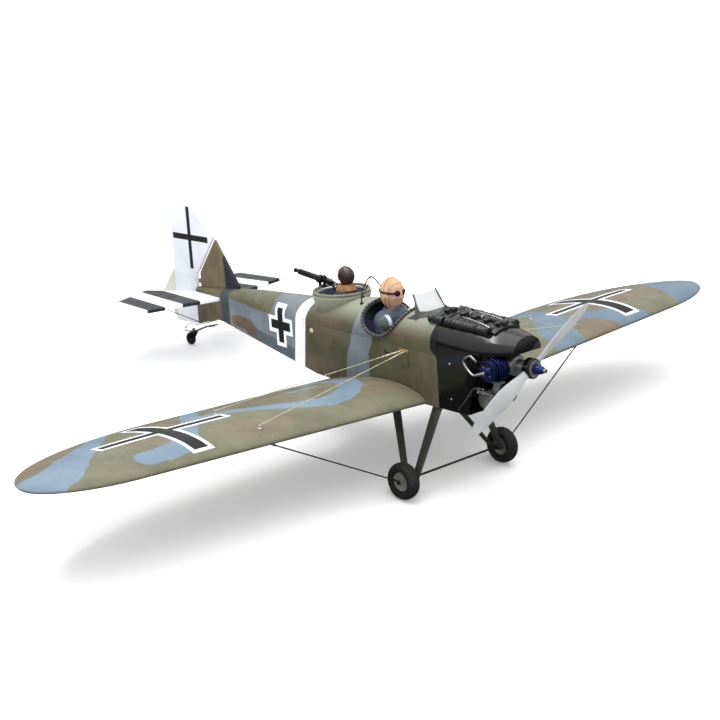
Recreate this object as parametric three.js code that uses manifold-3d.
// Large radio-controlled two-seat monoplane of the 1918 pattern, in millimetres.
// Airframe axes: +X forward, +Y to the aircraft's left, +Z up; their origin is the tip of the
// propeller nut, on the thrust line. The finished airframe is pitched nose-up onto its three wheels.
import * as THREE from "three";
import { mergeVertices } from "three/addons/utils/BufferGeometryUtils.js";
import Module from "manifold-3d";

const wasm = await Module();
wasm.setup();

// ---------- driving dimensions ----------
const GAP = 0.4; // between pieces that touch
const SPAN = 2396;

const FIREWALL_X = -291;
const TAIL_X = -1400;
const BODY_HALF = 88;
const TAIL_HALF = 13;
const TAPER_FROM_X = -700;
const DECK_RISE = 0.7; // height of the rounded deck over its half width
const SKIN = 4;
const FLOOR = 5;
const HATCH_END_X = -830;
const SEAM_FRONT_Z = 14;
const SEAM_REAR_Z = 33;

const WING_ROOT_Z = -116;
const DIHEDRAL = THREE.MathUtils.degToRad(2.4);
const WING_LE_X = -338;
const WING_CHORD = 378;
const LEAD_SWEEP = 0.018;
const TRAIL_SWEEP = 0.004;
const TIP = { leadFrom: 965, leadBack: 109, trailFrom: 680, trailForward: 244 };
const AIRFOIL = { top: 0.315, nose: 0.7, tail: 1.14, bottom: 0.036, edge: 0.8 };
const AILERON_IN = 540;
const AILERON_OUT = 985;
const AILERON_HINGE_IN_X = -642;
const AILERON_HINGE_OUT_X = -664;
const COVE_RADIUS = 11.8; // of the hollow in the wing, just over the section's height at the hinge
const NOSE_RADIUS = 10.6;
const AILERON_REACH = 200; // further aft of the hinge line than any trailing edge
const JOINER = { x: -440, z: -103, radius: 10, half: 330 };

const STAB = { z: 22, thick: 11, half: 330, rootX: -1259, hingeX: -1404, trailX: -1550 };
const FIN_THICK = 9;
const RUDDER_HINGE_X = -1402;
const RUDDER_TOP_Z = 288;

const MAIN_WHEEL = { x: -337, y: 184, z: -303, radius: 49, width: 36 };
const TAIL_WHEEL = { x: -1466, z: -132, radius: 19, width: 13 };
const TAIL_STEER_X = -1448;

const PROP = { x: -50, radius: 254, angle: THREE.MathUtils.degToRad(28) };
const RING = { x: -742, z: 106, radius: 80, tube: 5 };
const COCKPIT = { x: -510, z: 112, radius: 77 };
const GUN_PIVOT = { x: -822, z: 128 };

// ---------- materials ----------
const paint = (color, roughness = 0.5, metalness = 0) =>
  new THREE.MeshStandardMaterial({ color, roughness, metalness });
const M = {
  camo: paint(0x6f6c50, 0.55),
  wingPaint: paint(0x8a9a96, 0.55),
  white: paint(0xf1f1f4, 0.45),
  cowl: paint(0x1b1c1e, 0.3),
  blackMetal: paint(0x17181a, 0.4, 0.5),
  steel: paint(0xb4b6b8, 0.3, 1),
  aluminium: paint(0xa9abad, 0.35, 1),
  blueMetal: paint(0x2c3f8f, 0.3, 0.9),
  greyMetal: paint(0x7d7f7c, 0.45, 0.6),
  clear: paint(0xdfe8ea, 0.05),
  rubber: paint(0x141414, 0.9),
  hub: paint(0x4a4b47, 0.45, 0.4),
  ply: paint(0xb99b6b, 0.7),
  plastic: paint(0x26282b, 0.5),
  tank: paint(0xe4e2d8, 0.4),
  battery: paint(0x2f5f9a, 0.4),
  leather: paint(0xcfa27c, 0.6),
  darkLeather: paint(0x2b1c17, 0.35),
  prop: paint(0x9c9d9f, 0.35, 0.1),
};

// ---------- geometry helpers ----------
const V = (x, y, z) => new THREE.Vector3(x, y, z);
const { degToRad, lerp, clamp } = THREE.MathUtils;

function solidOf(geometry) {
  const bare = new THREE.BufferGeometry();
  const source = geometry.index ? geometry.toNonIndexed() : geometry;
  bare.setAttribute("position", source.getAttribute("position"));
  const merged = mergeVertices(bare, 1e-3);
  const vertProperties = merged.getAttribute("position").array;
  const triVerts = new Uint32Array(merged.index.array);
  return new wasm.Manifold(new wasm.Mesh({ numProp: 3, vertProperties, triVerts }));
}

function geometryOf(solid) {
  const mesh = solid.getMesh();
  const geometry = new THREE.BufferGeometry();
  geometry.setAttribute("position", new THREE.BufferAttribute(mesh.vertProperties, 3));
  geometry.setIndex(new THREE.BufferAttribute(mesh.triVerts, 1));
  geometry.computeVertexNormals();
  return geometry;
}

const combine = (operation) => (first, ...others) =>
  geometryOf(others.reduce((sum, next) => sum[operation](solidOf(next)), solidOf(first)));
const join = combine("add");
const cut = combine("subtract");
const keep = combine("intersect");

// A closed skin over rings of points; a looped skin joins its last ring to its first.
function loft(rings, looped = false) {
  const sides = rings[0].length;
  const points = rings.flat();
  const faces = [];
  const spans = looped ? rings.length : rings.length - 1;
  for (let ring = 0; ring < spans; ring += 1) {
    const next = (ring + 1) % rings.length;
    for (let i = 0; i < sides; i += 1) {
      const j = (i + 1) % sides;
      const [a, b, c, d] = [ring * sides + i, ring * sides + j, next * sides + i, next * sides + j];
      faces.push(a, b, c, b, d, c);
    }
  }
  if (!looped) {
    for (const [ring, turn] of [[0, 1], [rings.length - 1, -1]]) {
      const centre = rings[ring].reduce((sum, p) => sum.add(p), V(0, 0, 0)).divideScalar(sides);
      const hub = points.push(centre) - 1;
      for (let i = 0; i < sides; i += 1) {
        const [a, b] = [ring * sides + i, ring * sides + ((i + 1) % sides)];
        faces.push(...(turn > 0 ? [hub, b, a] : [hub, a, b]));
      }
    }
  }
  const geometry = new THREE.BufferGeometry().setFromPoints(points);
  geometry.setIndex(faces);
  return outward(geometry);
}

function outward(geometry) {
  const position = geometry.getAttribute("position");
  const index = geometry.index.array;
  const corner = (i) => new THREE.Vector3().fromBufferAttribute(position, index[i]);
  let volume = 0;
  for (let i = 0; i < index.length; i += 3) {
    volume += corner(i).dot(corner(i + 1).cross(corner(i + 2)));
  }
  if (volume < 0) {
    for (let i = 0; i < index.length; i += 3) [index[i + 1], index[i + 2]] = [index[i + 2], index[i + 1]];
  }
  geometry.computeVertexNormals();
  return geometry;
}

// A round bar along a smooth curve through points.
function bar(points, radius, { sides = 8, steps = 8, looped = false, tension = 0.5 } = {}) {
  const curve = new THREE.CatmullRomCurve3(points, looped, "catmullrom", tension);
  const frames = curve.computeFrenetFrames(steps, looped);
  const count = looped ? steps : steps + 1;
  const rings = Array.from({ length: count }, (_, k) => {
    const centre = curve.getPointAt(k / steps);
    return Array.from({ length: sides }, (_, i) => {
      const turn = (2 * Math.PI * i) / sides;
      return centre
        .clone()
        .addScaledVector(frames.normals[k], radius * Math.cos(turn))
        .addScaledVector(frames.binormals[k], radius * Math.sin(turn));
    });
  });
  return loft(rings, looped);
}

function rod(start, end, radius, sides = 10, endRadius = radius) {
  const axis = new THREE.Vector3().subVectors(end, start);
  const geometry = new THREE.CylinderGeometry(endRadius, radius, axis.length(), sides);
  geometry.applyQuaternion(new THREE.Quaternion().setFromUnitVectors(V(0, 1, 0), axis.clone().normalize()));
  return geometry.translate((start.x + end.x) / 2, (start.y + end.y) / 2, (start.z + end.z) / 2);
}

function block(low, high) {
  const size = high.map((value, i) => value - low[i]);
  const middle = high.map((value, i) => (value + low[i]) / 2);
  return new THREE.BoxGeometry(...size).translate(...middle);
}

function ball(centre, radii, columns = 14, rows = 10) {
  return new THREE.SphereGeometry(1, columns, rows).scale(...radii).translate(centre.x, centre.y, centre.z);
}

// A flat plate from an outline in X and Z, its faces at +-thick/2 in Y, with bevelled edges.
function sidePlate(outline, thick, bevel = 0, holes = []) {
  const shape = new THREE.Shape(outline.map(([x, z]) => new THREE.Vector2(x, z)));
  shape.holes = holes;
  const depth = thick - 2 * bevel;
  const settings = { depth, bevelEnabled: bevel > 0, bevelThickness: bevel, bevelSize: bevel };
  const geometry = new THREE.ExtrudeGeometry(shape, {
    ...settings,
    bevelOffset: -bevel,
    bevelSegments: 1,
    curveSegments: 6,
  });
  return geometry.translate(0, 0, -depth / 2).rotateX(Math.PI / 2);
}

// A plate from an outline in X and Y, its faces at +-thick/2 in Z.
const flatPlate = (outline, thick, bevel = 0) =>
  sidePlate(outline, thick, bevel).rotateX(-Math.PI / 2);

function turned(profile, segments = 24) {
  return new THREE.LatheGeometry(profile.map(([r, h]) => new THREE.Vector2(r, h)), segments);
}

const mirrorY = (geometry) => {
  const copy = geometry.index ? geometry.toNonIndexed() : geometry.clone();
  copy.deleteAttribute("normal");
  copy.deleteAttribute("uv");
  const flipped = mergeVertices(copy.scale(1, -1, 1), 1e-3);
  return outward(flipped);
};

// ---------- scene graph ----------
const airframe = new THREE.Group();
airframe.name = "airframe";

function place(name, geometry, material, parent = airframe) {
  const mesh = new THREE.Mesh(geometry, material);
  mesh.name = name;
  parent.add(mesh);
  return mesh;
}

function pivot(name, x, y, z, parent = airframe) {
  const group = new THREE.Group();
  group.name = name;
  group.position.set(x, y, z);
  parent.add(group);
  return group;
}

// ---------- fuselage lines ----------
const along = (stations) => (x) => {
  const last = stations.length - 1;
  let k = 0;
  while (k < last - 1 && x < stations[k + 1][0]) k += 1;
  const [[x0, v0], [x1, v1]] = [stations[k], stations[k + 1]];
  return lerp(v0, v1, clamp((x - x0) / (x1 - x0), 0, 1));
};
const bodyHalf = along([[TAPER_FROM_X, BODY_HALF], [TAIL_X, TAIL_HALF]]);
const bodyBottom = along([
  [-291, -126], [-640, -119], [-780, -116], [-1262, -45], [-1290, -45], [TAIL_X, -73],
]);
const bodyRidge = along([[-291, 103], [-640, 103], [-866, 76], [-1110, 65], [TAIL_X, 41]]);

function bodySection(x, { half, bottom, ridge }, segments = 12) {
  const shoulder = ridge - DECK_RISE * half;
  const chamfer = Math.min(5, half / 3);
  const ring = [[half, bottom + chamfer]];
  for (let i = 0; i <= segments; i += 1) {
    const turn = (Math.PI * i) / segments;
    ring.push([half * Math.cos(turn), shoulder + DECK_RISE * half * Math.sin(turn)]);
  }
  ring.push([-half, bottom + chamfer], [chamfer - half, bottom], [half - chamfer, bottom]);
  return ring.map(([y, z]) => V(x, y, z));
}

const bodyAt = (x, inset = 0, floor = 0) =>
  bodySection(x, {
    half: bodyHalf(x) - inset,
    bottom: bodyBottom(x) + floor,
    ridge: bodyRidge(x) - inset,
  });

// ---------- wing ----------
const wingPlaneZ = (y) => WING_ROOT_Z + Math.tan(DIHEDRAL) * (y - BODY_HALF);

// Each edge of the rounded tip is a quarter ellipse: its share falls from 1 to 0 at the tip.
const tipShare = (y, from) => Math.sqrt(1 - clamp((y - from) / (SPAN / 2 - from), 0, 1) ** 2);
const wingLead = (y) =>
  WING_LE_X - LEAD_SWEEP * (y - BODY_HALF) - TIP.leadBack * (1 - tipShare(y, TIP.leadFrom));
const wingTrail = (y) =>
  WING_LE_X -
  WING_CHORD +
  TRAIL_SWEEP * (y - BODY_HALF) +
  TIP.trailForward * (1 - tipShare(y, TIP.trailFrom));

// Height of the section over and under its chord line, as a share of the chord.
const airfoilTop = (t) => AIRFOIL.top * t ** AIRFOIL.nose * (1 - t) ** AIRFOIL.tail;
const airfoilBottom = (t) => -AIRFOIL.bottom * 4 * (Math.sqrt(t) - t) * (1 - 0.55 * t);
const shareAt = (x, y) => (wingLead(y) - x) / (wingLead(y) - wingTrail(y));
const chordAt = (y) => wingLead(y) - wingTrail(y);
const wingTopZ = (x, y) => wingPlaneZ(y) + airfoilTop(shareAt(x, y)) * chordAt(y) + AIRFOIL.edge;
const wingBottomZ = (x, y) => wingPlaneZ(y) + airfoilBottom(shareAt(x, y)) * chordAt(y) - AIRFOIL.edge;

function wingSection(y) {
  const stations = Array.from({ length: 10 }, (_, i) => wingLead(y) - chordAt(y) * (i / 9) ** 1.7);
  const upper = stations.map((x) => V(x, y, wingTopZ(x, y)));
  const lower = stations.map((x) => V(x, y, wingBottomZ(x, y))).reverse();
  return [...upper, ...lower];
}

function wingPanel() {
  const straight = [BODY_HALF + GAP, 300, 540, TIP.trailFrom];
  const rounded = Array.from({ length: 12 }, (_, i) =>
    lerp(TIP.trailFrom, SPAN / 2 - 0.4, Math.sin((Math.PI / 2) * ((i + 1) / 12))));
  return loft([...straight, ...rounded].map(wingSection));
}

// The hinge line of an aileron and the space around it, for a nose radius.
const hingeZ = (y) => wingPlaneZ(y) + 5;
const aileronHinge = {
  inner: V(AILERON_HINGE_IN_X, AILERON_IN, hingeZ(AILERON_IN)),
  outer: V(AILERON_HINGE_OUT_X, AILERON_OUT, hingeZ(AILERON_OUT)),
};
const aileronAxis = aileronHinge.outer.clone().sub(aileronHinge.inner).normalize();

// The ends are square to the hinge line, so that they stay clear of the wing as the aileron swings.
function aileronSpace(noseRadius, endGap, halfHeight) {
  const start = aileronHinge.inner.clone().addScaledVector(aileronAxis, endGap);
  const end = aileronHinge.outer.clone().addScaledVector(aileronAxis, -endGap);
  const up = V(1, 0, 0).cross(aileronAxis).normalize();
  const back = up.clone().cross(aileronAxis).setLength(AILERON_REACH);
  const corners = (p) =>
    [[0, 1], [0, -1], [1, -1], [1, 1]].map(([share, side]) =>
      p.clone().addScaledVector(back, share).addScaledVector(up, side * halfHeight),
    );
  return join(loft([corners(start), corners(end)]), rod(start, end, noseRadius, 24));
}

const SERVO = { x: -560, y: 700, long: 40, wide: 20, tall: 26 };
const servoZ = wingPlaneZ(SERVO.y) - 7;
const servoPocket = block(
  [SERVO.x - SERVO.long / 2 - GAP, SERVO.y - SERVO.wide / 2 - GAP, servoZ - 30],
  [SERVO.x + SERVO.long / 2 + GAP, SERVO.y + SERVO.wide / 2 + GAP, servoZ + SERVO.tall + GAP],
);

const joinerBore = rod(
  V(JOINER.x, -JOINER.half - 2, JOINER.z),
  V(JOINER.x, JOINER.half + 2, JOINER.z),
  JOINER.radius + GAP,
  16,
);

function buildWings() {
  const panel = wingPanel();
  const hinged = cut(panel, aileronSpace(COVE_RADIUS, 0, 30), servoPocket, joinerBore);
  const aileron = keep(panel, aileronSpace(NOSE_RADIUS, 1.5, 29));
  place("left_wing", hinged, M.wingPaint);
  place("right_wing", mirrorY(hinged), M.wingPaint);
  for (const [side, sign] of [["left", 1], ["right", -1]]) {
    const at = aileronHinge.inner;
    const hinge = pivot(side + "_aileron_pivot", at.x, sign * at.y, at.z);
    hinge.userData.axis = V(aileronAxis.x, sign * aileronAxis.y, aileronAxis.z).multiplyScalar(sign);
    const local = aileron.clone().translate(-at.x, -at.y, -at.z);
    place(side + "_aileron", sign > 0 ? local : mirrorY(local), M.wingPaint, hinge);
  }
  place("wing_joiner_tube", rod(V(JOINER.x, -JOINER.half, JOINER.z), V(JOINER.x, JOINER.half, JOINER.z),
    JOINER.radius, 16), M.aluminium);
}

// ---------- aileron servos ----------
function buildServos() {
  for (const [side, sign] of [["left", 1], ["right", -1]]) {
    const low = servoZ;
    const body = block(
      [SERVO.x - SERVO.long / 2, SERVO.y - SERVO.wide / 2, low],
      [SERVO.x + SERVO.long / 2, SERVO.y + SERVO.wide / 2, low + SERVO.tall],
    );
    const cover = block(
      [SERVO.x - SERVO.long / 2, SERVO.y - SERVO.wide / 2, low - 6],
      [SERVO.x + SERVO.long / 2, SERVO.y + SERVO.wide / 2, low + 1],
    );
    const servo = join(body, cover);
    place(side + "_aileron_servo", sign > 0 ? servo : mirrorY(servo), M.plastic);
  }
}

// ---------- fuselage, hatch, firewall ----------
function buildFuselage() {
  const stations = [-291, -640, -700, -780, -866, -990, -1110, -1262, -1290, TAIL_X];
  const inner = [FIREWALL_X + 1, -640, -700, -780, -866, -990, -1110, -1200];
  const skin = cut(
    loft(stations.map((x) => bodyAt(x))),
    loft(inner.map((x) => bodyAt(x, SKIN, FLOOR))),
  );
  const hatchSpace = (gap) =>
    sidePlate(
      [
        [FIREWALL_X + 5, SEAM_FRONT_Z - gap],
        [HATCH_END_X - gap, SEAM_REAR_Z - gap],
        [HATCH_END_X - gap, 200],
        [FIREWALL_X + 5, 200],
      ],
      400,
    );
  const lower = cut(skin, hatchSpace(GAP), joinerBore);
  place("fuselage", lower, M.camo);
  const cockpit = rod(V(COCKPIT.x, -100, COCKPIT.z), V(COCKPIT.x, 100, COCKPIT.z), COCKPIT.radius, 36);
  const rearCockpit = rod(V(RING.x, 0, 0), V(RING.x, 0, 130), RING.radius - 12, 30);
  const hatch = pivot("hatch_pivot", 0, 0, 0);
  const shell = join(keep(skin, hatchSpace(0)), ringCollar());
  place("top_hatch", cut(shell, cockpit, rearCockpit), M.camo, hatch);

  const plate = bodySection(0, {
    half: BODY_HALF - SKIN - GAP,
    bottom: -126 + FLOOR + GAP,
    ridge: 103 - SKIN - GAP,
  });
  const at = (x) => plate.map((p) => V(x, p.y, p.z));
  place("firewall", loft([at(FIREWALL_X - 8), at(FIREWALL_X - 2)]), M.ply);
  return hatch;
}

// Flared collar under the gun ring: round at the top, drawn in to the width of the body below.
function ringCollar() {
  const { x, z, radius } = RING;
  const rows = [[radius - 8, 42], [radius - 4, z - 22], [radius + 2, z - 4], [radius + 2, z - 1]];
  return loft(
    rows.map(([r, height]) =>
      Array.from({ length: 36 }, (_, i) => {
        const turn = (2 * Math.PI * i) / 36;
        return V(x + r * Math.cos(turn), r * Math.sin(turn), height);
      }),
    ),
  );
}

// ---------- cowl ----------
const COWL_STATIONS = [
  { x: -290.4, half: 88, bottom: -126, ridge: 103 },
  { x: -190, half: 88, bottom: -126, ridge: 98 },
  { x: -120, half: 74, bottom: -118, ridge: 91 },
  { x: -60, half: 50, bottom: -100, ridge: 80 },
];

const grown = ({ half, bottom, ridge }, lift) => ({
  half: half + lift,
  bottom: bottom - lift,
  ridge: ridge + lift,
});

function buildCowl() {
  const skin = (inset, ends) =>
    loft(
      COWL_STATIONS.map(({ x, half, bottom, ridge }, i) =>
        bodySection(x + ends * (i === 0 ? -1 : i === 3 ? -4 : 0), {
          half: half - inset,
          bottom: bottom + inset,
          ridge: ridge - inset,
        }),
      ),
    );
  // Below the hood the nose is open: the sides end in an upright edge with an arched top.
  const arch = [[-190, -140], [-168, -10]];
  for (let i = 0; i <= 5; i += 1) {
    const turn = (Math.PI / 2) * (i / 5);
    arch.push([-128 - 40 * Math.cos(turn), 36 * Math.sin(turn)]);
  }
  arch.push([-20, 42], [-20, -140]);
  place("cowl", cut(skin(0, 0), skin(3, 1), sidePlate(arch, 300)), M.cowl);
}

// ---------- engine ----------
const ENGINE = { x: -115, caseRadius: 27, headY: -94 };

function buildEngine() {
  const back = block([-289.5 + 3, -40, -45], [-289.5 + 9, 40, 45]);
  const posts = [[-30, -34], [30, -34], [-30, 34], [30, 34]].map(([y, z]) =>
    rod(V(-283, y, z), V(-176, y, z), 6, 8),
  );
  const ring = block([-180, -38, -42], [-172, 38, 42]);
  place("engine_mount", join(back, ...posts, ring), M.aluminium);

  const crank = join(
    rod(V(-171.5, 0, 0), V(-92, 0, 0), ENGINE.caseRadius, 20),
    rod(V(-93, 0, 0), V(-66, 0, 0), 17, 20),
    rod(V(ENGINE.x, -10, 0), V(ENGINE.x, -34, 0), 22, 16),
  );
  const carburettor = join(
    block([-171, 22, -16], [-130, 52, 16]),
    rod(V(-150, 50, 0), V(-150, 66, 0), 14, 16),
  );
  const throat = rod(V(-150, 54, 0), V(-150, 70, 0), 10, 16);
  place("crankcase", cut(join(crank, carburettor), throat), M.aluminium);

  const fins = [];
  for (let i = 0; i < 7; i += 1) {
    const y = -37 - i * 8;
    fins.push(rod(V(ENGINE.x, y, 0), V(ENGINE.x, y - 3.4, 0), i > 4 ? 27 : 30, 20));
  }
  const barrel = rod(V(ENGINE.x, -34 - GAP, 0), V(ENGINE.x, ENGINE.headY + 4, 0), 19, 16);
  const dome = rod(V(ENGINE.x, -86, 0), V(ENGINE.x, ENGINE.headY, 0), 14, 16, 9);
  place("cylinder_head", join(barrel, ...fins, dome), M.blueMetal);

  const lead = [
    V(-133, -97, -8), V(-158, -97, -12), V(-186, -97, 16), V(-166, -94, 33), V(-149, -91, 22),
    V(-154, -66, 14),
  ];
  place("ignition_lead", bar(lead, 3.8, { sides: 8, steps: 18 }), M.steel);

  const can = rod(V(-150, -66, -86), V(-150, 30, -86), 24, 20);
  const neck = rod(V(-140, -40, -74), V(-117, -50, -35), 9, 12);
  const outlets = [-14, 4].map((shift) => rod(V(-140 + shift, -50, -76), V(-140 + shift, -84, -58), 4, 10));
  place("muffler", join(can, neck, ...outlets), M.greyMetal);
}

// The pipe along each side of the dummy engine comes in and falls towards the nose.
const PIPE = { x: -345, y: 68, z: 95, radius: 12, facets: 14, inward: 0.024, fall: 0.053 };
const pipeAt = (x, sign) =>
  V(x, sign * (PIPE.y - PIPE.inward * (x - PIPE.x)), PIPE.z - PIPE.fall * (x - PIPE.x));

// Dummy in-line engine: a saddle over the deck with a raised row of cylinders and a pipe each side.
function dummyEngine(fromX, toX, count, [deck, saddle], lift) {
  const pieces = [keep(saddle, block([fromX, -64, 64], [toX, 64, 200]))];
  const pitch = (toX - fromX) / count;
  for (let i = 0; i < count; i += 1) {
    const x = fromX + pitch * (i + 0.5);
    const z = 100 + lift(x);
    pieces.push(rod(V(x, 0, z), V(x, 0, z + 13), 15, 14));
    pieces.push(block([x - 8, -20, z + 9], [x + 8, 20, z + 17]));
  }
  for (const sign of [-1, 1])
    pieces.push(rod(pipeAt(fromX, sign), pipeAt(toX, sign), PIPE.radius, PIPE.facets));
  return cut(join(...pieces), deck);
}

// ---------- front cockpit ----------
function headAndShoulders(at, { headRadii, headZ, chestHalf, chestDeep, chestTop, base }) {
  const chest = loft(
    [
      [base, 0.92, 0.9],
      [lerp(base, chestTop, 0.55), 1, 1],
      [lerp(base, chestTop, 0.85), 0.86, 0.9],
      [chestTop, 0.4, 0.5],
    ].map(([z, wide, deep]) =>
      Array.from({ length: 20 }, (_, i) => {
        const turn = (2 * Math.PI * i) / 20;
        return V(at.x + chestDeep * deep * Math.cos(turn), at.y + chestHalf * wide * Math.sin(turn), z);
      }),
    ),
  );
  const neck = rod(V(at.x, at.y, chestTop - 4), V(at.x + 2, at.y, headZ - headRadii[2] * 0.4), 15, 14);
  return join(chest, neck, ball(V(at.x + 2, at.y, headZ), headRadii, 18, 14));
}

// A point on the deck at a station and height, on one side, lifted off the skin.
function deckPoint(x, z, sign, lift) {
  const half = bodyHalf(x);
  const rise = DECK_RISE * half;
  const turn = Math.asin(clamp((z - bodyRidge(x) + rise) / rise, 0, 0.995));
  const skin = V(0, half * Math.cos(turn), bodyRidge(x) - rise + rise * Math.sin(turn));
  const normal = V(0, Math.cos(turn) / half, Math.sin(turn) / rise).normalize();
  const height = Math.min(z, skin.z) + lift * normal.z;
  return V(x, sign * (skin.y + lift * normal.y), height);
}

const SCREEN_Z = 99;
const PANE_CROWN = 0.0026; // fall of the pane's edges over the half width squared

function buildFrontCockpit(hatch) {
  // The padded edge follows the cut in the deck: a circle seen from the side.
  const radius = COCKPIT.radius - 0.5;
  const sweep = Math.acos((COCKPIT.z - bodyRidge(COCKPIT.x)) / radius);
  const edge = (turn, sign) =>
    deckPoint(COCKPIT.x + radius * Math.sin(turn), COCKPIT.z - radius * Math.cos(turn), sign, 4);
  const half = Array.from({ length: 15 }, (_, i) => lerp(-sweep, sweep, i / 14));
  const rim = [...half.map((turn) => edge(turn, -1)), ...half.reverse().map((turn) => edge(turn, 1))];
  const coaming = bar(rim, 3.4, { sides: 8, steps: 56, looped: true });
  const frontDeck = loft([-300, -620].map((x) => bodyAt(x, -GAP)));
  place("cockpit_coaming", cut(coaming, frontDeck), M.darkLeather, hatch);

  place("cockpit_floor", block([-812, -60, 14], [-428, 60, 18]), M.ply, hatch);
  const pilot = headAndShoulders(V(-540, 0, 0), {
    headRadii: [37, 31, 44],
    headZ: 128,
    chestHalf: 60,
    chestDeep: 36,
    chestTop: 86,
    base: 18 + GAP,
  });
  place("pilot", pilot, M.leather, hatch);

  const pane = (x, z, half, sag) =>
    Array.from({ length: 7 }, (_, i) => {
      const y = lerp(-half, half, i / 6);
      return [x + sag * (1 - (y / half) ** 2), y, z - PANE_CROWN * y * y];
    });
  const sheet = (rows, thick) =>
    loft(
      rows.map((row) => [
        ...row.map(([x, y, z]) => V(x, y, z)),
        ...[...row].reverse().map(([x, y, z]) => V(x - thick, y, z)),
      ]),
    );
  const screen = sheet(
    [pane(-386, SCREEN_Z + 9, 44, 16), pane(-402, 128, 42, 15), pane(-414, 150, 37, 13)],
    1.6,
  );
  place("windscreen", cut(screen, frontDeck), M.clear, hatch);
  const skirt = sheet([pane(-380, SCREEN_Z - 7, 46, 17), pane(-386, SCREEN_Z + 8.4, 45, 16)], 3);
  const posts = [-1, 1].map((sign) =>
    rod(V(-384, sign * 46.5, SCREEN_Z - 9), V(-414, sign * 43, 149), 2.2, 8),
  );
  place("windscreen_frame", cut(join(skirt, ...posts), frontDeck), M.greyMetal, hatch);

  const hoop = [
    V(-618, -40, 98.5), V(-619, -32, 132), V(-620, 0, 163), V(-619, 32, 132), V(-618, 40, 98.5),
  ];
  place("cockpit_hoop", bar(hoop, 1.6, { sides: 6, steps: 16 }), M.blackMetal, hatch);
}

// ---------- rear cockpit ----------
function buildRearCockpit(hatch) {
  const { x, z, radius, tube } = RING;
  const yaw = pivot("gun_ring_pivot", x, 0, z + tube, hatch);
  const ringPoints = Array.from({ length: 12 }, (_, i) => {
    const turn = (2 * Math.PI * i) / 12;
    return V((radius - 4) * Math.cos(turn), (radius - 4) * Math.sin(turn), 0.4);
  });
  const hoop = bar(ringPoints, tube, { sides: 8, steps: 36, looped: true });
  const gunX = GUN_PIVOT.x - x;
  const lug = block([gunX - 7, -10, -3], [gunX + 9, 10, 5]);
  const ears = [-8, 8].map((y) => block([gunX - 5, y - 1.5, 3], [gunX + 5, y + 1.5, 21]));
  place("gun_ring", join(hoop, lug, ...ears), M.blackMetal, yaw);

  const tilt = pivot("gun_tilt_pivot", gunX, 0, GUN_PIVOT.z - z - tube, yaw);
  const gun = join(
    block([-22, -5.5, -4], [46, 5.5, 10]),
    rod(V(-20, 0, 3), V(-96, 0, 3), 6.5, 12),
    rod(V(-95, 0, 3), V(-112, 0, 3), 3, 10),
    rod(V(-108, 0, 3), V(-116, 0, 3), 5, 10),
    rod(V(44, 0, 0), V(56, 0, -14), 4, 8),
  );
  place("machine_gun", gun.rotateY(degToRad(7)), M.blackMetal, tilt);

  const gunner = headAndShoulders(V(-722, 0, 0), {
    headRadii: [27, 22, 28],
    headZ: 153,
    chestHalf: 48,
    chestDeep: 30,
    chestTop: 118,
    base: 18 + GAP,
  });
  place("gunner", gunner, M.darkLeather, hatch);
}

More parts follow.
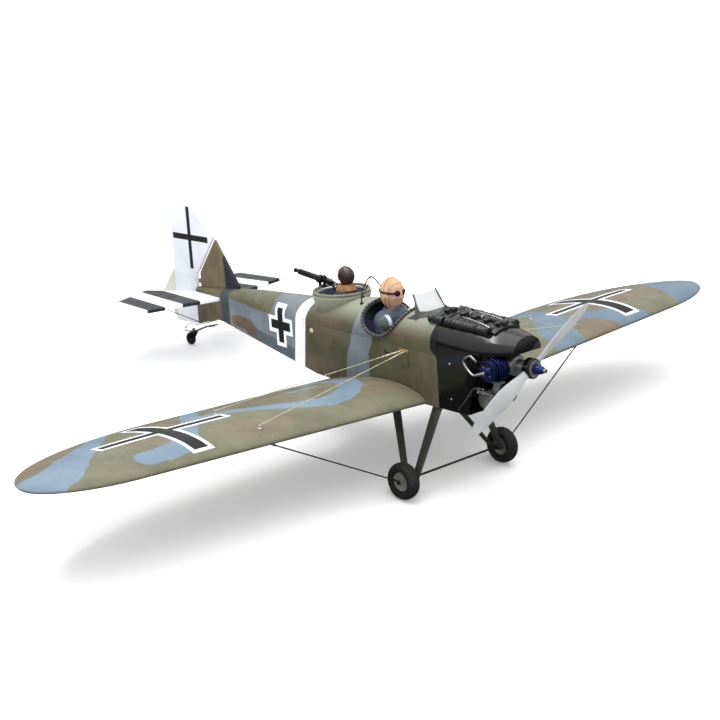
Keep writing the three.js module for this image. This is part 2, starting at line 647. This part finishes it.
// ---------- tail ----------
function buildTail() {
  const { z, thick, half, rootX, hingeX, trailX } = STAB;
  const outline = (sign, inner) => {
    const points = [[rootX, inner], [-1282, 90], [-1309, 195]];
    for (let i = 0; i <= 6; i += 1) {
      const turn = (Math.PI / 2) * (i / 6);
      points.push([-1392 + 71 * Math.cos(turn) ** 1.3, 247 + (half - 247) * Math.sin(turn)]);
    }
    for (let i = 1; i <= 6; i += 1) {
      const turn = (Math.PI / 2) * (i / 6);
      points.push([-1392 - 110 * Math.sin(turn), 220 + (half - 220) * Math.cos(turn)]);
    }
    points.push([trailX + 28, 168], [trailX, 100], [trailX, inner]);
    return points.map(([x, y]) => [x, sign * y]);
  };
  const inner = TAIL_HALF + GAP;
  for (const [side, sign] of [["left", 1], ["right", -1]]) {
    const whole = flatPlate(outline(sign, 0), thick, 3).translate(0, 0, z);
    const ownSide = block([-1620, sign > 0 ? 6 : -400, -20], [-1200, sign > 0 ? 400 : -6, 60]);
    const hinge = (radius) => rod(V(hingeX, sign * 1, z), V(hingeX, sign * 400, z), radius, 12);
    const aft = block([-1650, -400, -20], [hingeX, 400, 60]);
    const body = loft([-1200, -1262, -1290, TAIL_X].map((x) => bodyAt(x, -GAP, 0)));
    const fixed = cut(keep(whole, ownSide), aft, hinge(8), body);
    place(side + "_stabiliser", fixed, M.white);
    const swing = flatPlate(
      [[hingeX + 20, sign * (inner + 4)], [hingeX - 10, sign * (inner + 4)], [-1600, sign * 118],
        [-1600, sign * 400], [hingeX + 20, sign * 400]], 60).translate(0, 0, z);
    const pivotAt = pivot(side + "_elevator_pivot", hingeX, 0, z);
    const elevator = keep(whole, swing, join(aft, hinge(6.6)));
    place(side + "_elevator", elevator.translate(-hingeX, 0, -z), M.white, pivotAt);
  }

  const fin = sidePlate([[-1196, 62], [-1298, 196], [-1384, 86], [-1384, 30], [-1240, 30]], FIN_THICK, 2.5);
  const deck = loft([-1150, -1262, -1290, TAIL_X].map((x) => bodyAt(x, -GAP, 0)));
  place("fin", cut(fin, deck), M.camo);

  const h = RUDDER_HINGE_X;
  const rudder = sidePlate(
    [
      [-1516, RUDDER_TOP_Z], [-1408, RUDDER_TOP_Z], [-1302, 203], [-1388, 92], [h + 2, 84], [h + 2, -78],
      [-1517, -80], [-1586, 4], [-1512, 92],
    ],
    10,
    3,
  );
  const rudderPivot = pivot("rudder_pivot", h, 0, 0);
  place("rudder", cut(rudder, block([h - 4, -20, -90], [-1380, 20, 70]))
    .translate(-h, 0, 0), M.white, rudderPivot);
  const wire = [V(-1424, 0, -83), V(-1470, 0, -85), V(-1490, 0, -106)].map((p) => p.setX(p.x - h));
  place("steering_wire", bar(wire, 1.2, { sides: 6, steps: 8 }), M.steel, rudderPivot);

  const braceEnd = (sign) => V(-1326, sign * 178, z - thick / 2 - 1.6);
  const keel = (sign) => V(-1360, sign * 24, bodyBottom(-1360) - 2.4);
  const corners = [-1, 1].map((sign) => ball(keel(sign), [1.6, 1.6, 1.6], 8, 6));
  const sides = [-1, 1].map((sign) => rod(braceEnd(sign), keel(sign), 1.2, 6));
  place("tail_brace", join(rod(keel(-1), keel(1), 1.2, 6), ...corners, ...sides), M.steel);
}

function buildTailWheel() {
  const plate = sidePlate([[-1330, -68], [-1376, -79], [-1441, -104], [-1456, -104], [-1456, -108],
    [-1440, -108], [-1374, -83], [-1328, -72]], 14);
  place("tail_bracket", plate, M.blackMetal);
  const steer = pivot("tail_steer_pivot", TAIL_STEER_X, 0, -106);
  const { x, z, width } = TAIL_WHEEL;
  const [dx, dz] = [x - TAIL_STEER_X, z + 106];
  const prongs = [-1, 1].map((sign) => {
    const y = sign * (width / 2 + 3);
    return sidePlate([[-8, -3], [8, -3], [dx + 4, dz - 4], [dx - 4, dz - 4]], 2.4).translate(0, y, 0);
  });
  const crown = block([-10, -width / 2 - 4.2, -5.4], [10, width / 2 + 4.2, -2.6]);
  const axle = rod(V(dx, -width / 2 - 4, dz), V(dx, width / 2 + 4, dz), 1.6, 8);
  const tiller = block([-46, -2, -5.2], [-8, 2, -2.8]);
  place("tail_fork", join(crown, ...prongs, axle, tiller), M.blackMetal, steer);
  const wheel = pivot("tail_wheel_pivot", dx, 0, dz, steer);
  place("tail_wheel", tyre(TAIL_WHEEL.radius, width, 2.2, 0.3), M.rubber, wheel);
}

// ---------- wheels and landing gear ----------
// A ring turned about Y: rounded tread, flat sides, bore in the middle.
function tyre(radius, width, bore, hubShare) {
  const half = width / 2;
  const profile = [[bore, -half * 0.6], [radius * hubShare, -half * 0.6], [radius * 0.62, -half]];
  for (let i = 0; i <= 6; i += 1) {
    const turn = Math.PI * (i / 6 - 0.5);
    profile.push([radius * (0.78 + 0.22 * Math.cos(turn)), half * Math.sin(turn)]);
  }
  profile.push([radius * 0.62, half], [radius * hubShare, half * 0.6], [bore, half * 0.6]);
  return turned([...profile, profile[0]], 28);
}

const STRUTS = [["front", -309, -127.5, 1], ["rear", -470, -124.5, -1]];
const STRUT_CHORD = { top: 36, foot: 26 };
const STRUT_HALF_THICK = 3;
const STRUT_LEAN = 17; // from the axle to the middle of a strut's foot
const STAY = { x: -390, y: 570, radius: 1.8 }; // top end of the rod from the wing to the wheel

function buildLandingGear() {
  const { x, y, z, radius, width } = MAIN_WHEEL;
  const axleRadius = 3;
  place("axle", rod(V(x, -y - width / 2 - 4, z), V(x, y + width / 2 + 4, z), axleRadius, 12), M.blackMetal);
  for (const [side, sign] of [["left", 1], ["right", -1]]) {
    const wheel = pivot(side + "_wheel_pivot", x, sign * y, z);
    place(side + "_tyre", tyre(radius, width, radius * 0.52 + GAP, 0.56), M.rubber, wheel);
    const boss = (h) => [[axleRadius + 0.3, -h], [8, -h]];
    const hub = [...boss(width * 0.4), [8, -width * 0.22], [radius * 0.52, -width * 0.26],
      [radius * 0.52, width * 0.26], [8, width * 0.22], [8, width * 0.4], [axleRadius + 0.3, width * 0.4]];
    place(side + "_wheel_hub", turned([...hub, hub[0]], 24), M.hub, wheel);

    const foot = V(x, sign * (y - width / 2 - 7), z);
    for (const [end, topX, topZ, lean] of STRUTS) {
      place(side + "_" + end + "_strut", strut(V(topX, sign * 76, topZ), foot, lean), M.camo);
    }
    const rodTop = V(STAY.x, sign * STAY.y, wingBottomZ(STAY.x, STAY.y) - 2);
    const rodFoot = V(x, sign * (y + width / 2 + 1.5), z);
    place(side + "_lower_rod", rod(rodTop, rodFoot.clone().add(V(0, 0, 5)), STAY.radius, 8), M.blackMetal);
  }
}

// A flat streamlined strut from a fitting at the top to the axle.
function strut(top, foot, lean) {
  const section = (p, chord) =>
    Array.from({ length: 10 }, (_, i) => {
      const turn = (2 * Math.PI * i) / 10;
      return V(p.x + (chord / 2) * Math.cos(turn), p.y + STRUT_HALF_THICK * Math.sin(turn), p.z);
    });
  const low = foot.clone().add(V(lean * STRUT_LEAN, 0, 0));
  return loft([section(top, STRUT_CHORD.top), section(low, STRUT_CHORD.foot)]);
}

function buildWires() {
  for (const [side, sign] of [["left", 1], ["right", -1]]) {
    const y = sign * (BODY_HALF + 1.4);
    const pieces = [block([-420, y - 1, -34], [-396, y + 1, 16])];
    for (const [x, out, topX] of [[-398, 584, -402], [-581, 579, -414]]) {
      const skin = wingTopZ(x, out) + 1.2;
      pieces.push(rod(V(topX, y, 11), V(x, sign * out, skin + 7), 1, 6));
      pieces.push(rod(V(x, sign * out, skin), V(x, sign * out, skin + 9), 3, 8));
    }
    place(side + "_wing_wires", join(...pieces), M.steel);
  }
}

// ---------- propeller ----------
function buildPropeller() {
  const spin = pivot("propeller_pivot", PROP.x, 0, 0);
  spin.rotation.x = PROP.angle;
  // radius, chord, thickness, twist from the plane of the disc in degrees
  const stations = [
    [0, 21, 17, 0], [38, 22, 15, 34], [110, 42, 8, 26], [190, 36, 5, 17], [238, 22, 3.4, 13],
    [PROP.radius, 6, 2.4, 12],
  ];
  const blade = (sign) =>
    loft(
      stations.map(([r, chord, thick, twist]) => {
        const angle = sign * degToRad(90 - twist);
        return Array.from({ length: 12 }, (_, i) => {
          const turn = (2 * Math.PI * i) / 12;
          const [across, deep] = [(chord / 2) * Math.cos(turn), (thick / 2) * Math.sin(turn)];
          return V(
            across * Math.cos(angle) - deep * Math.sin(angle),
            sign * r,
            across * Math.sin(angle) + deep * Math.cos(angle),
          );
        });
      }),
    );
  const hub = rod(V(-9, 0, 0), V(9, 0, 0), 26, 24);
  const bore = rod(V(-12, 0, 0), V(12, 0, 0), 5.4, 16);
  place("propeller", cut(join(hub, blade(1), blade(-1)), bore), M.prop, spin);
  const axial = (profile, segments = 24) => turned(profile, segments).rotateZ(-Math.PI / 2);
  const nut = [[5.4, 0], [22, 0], [22, 6], [18, 9], [13, 9], [13, 24], [8, 34], [5.4, 34], [5.4, 0]];
  place("prop_nut", axial(nut).translate(9 + GAP, 0, 0), M.blueMetal, spin);
  const shaft = join(
    rod(V(-15.6, 0, 0), V(-9.4, 0, 0), 18, 20),
    rod(V(-15, 0, 0), V(50, 0, 0), 5, 12),
  );
  place("prop_shaft", shaft, M.steel, spin);
}

// ---------- equipment in the fuselage ----------
function buildEquipment() {
  place("radio_tray", block([-700, -83.5, -52], [-480, 83.5, -48]), M.ply);
  place("battery_pack", block([-560, -40, -47.6], [-490, -10, -30]), M.battery);
  place("receiver", block([-560, 8, -47.6], [-508, 40, -32]), M.plastic);
  const servo = (x, y) =>
    join(
      block([x - 20, y - 10, -47.6], [x + 20, y + 10, -28]),
      rod(V(x + 10, y, -29), V(x + 10, y, -24), 5, 12),
      block([x + 6, y - 14, -25], [x + 14, y + 14, -22.5]),
    );
  place("rudder_servo", servo(-650, 0), M.plastic);
  place("elevator_servo", servo(-650, 45), M.plastic);
  const tank = join(
    block([-420, -42, -72], [-310, 42, -12]),
    rod(V(-311, 0, -34), V(-303, 0, -34), 14, 16),
  );
  place("fuel_tank", tank, M.tank);
}

// ---------- assembly ----------
buildWings();
buildServos();
const hatch = buildFuselage();
buildCowl();
buildEngine();
const SADDLE = 6; // thickness of the dummy engine's base over the deck
const cowlDecks = [GAP, SADDLE].map((lift) =>
  loft(COWL_STATIONS.map((at) => bodySection(at.x, grown(at, lift)))),
);
const hatchDecks = [GAP, SADDLE].map((lift) => loft([-286, -370].map((x) => bodyAt(x, -lift))));
const cowlSlope = (x) => 0.07 * (-290 - x);
place("dummy_engine_front", dummyEngine(-284, -124, 4, cowlDecks, cowlSlope), M.blackMetal);
place("dummy_engine_rear", dummyEngine(-350, -292, 1, hatchDecks, () => 0), M.blackMetal, hatch);
buildFrontCockpit(hatch);
buildRearCockpit(hatch);
buildTail();
buildTailWheel();
buildLandingGear();
buildWires();
buildPropeller();
buildEquipment();

// The three-point attitude: the line under the main and tail wheels becomes level.
const wheelRun = MAIN_WHEEL.x - TAIL_WHEEL.x;
const wheelDrop = TAIL_WHEEL.z - MAIN_WHEEL.z;
const pitch = Math.atan2(wheelDrop, wheelRun) +
  Math.asin((MAIN_WHEEL.radius - TAIL_WHEEL.radius) / Math.hypot(wheelRun, wheelDrop));
airframe.rotation.y = -pitch;

const airplane = new THREE.Group();
airplane.name = "airplane";
airplane.add(airframe);
airplane.updateMatrixWorld(true);
const extent = new THREE.Box3().setFromObject(airplane, true);
const middle = extent.getCenter(new THREE.Vector3());
airframe.position.set(-middle.x, -middle.y, -extent.min.z);

export default airplane;
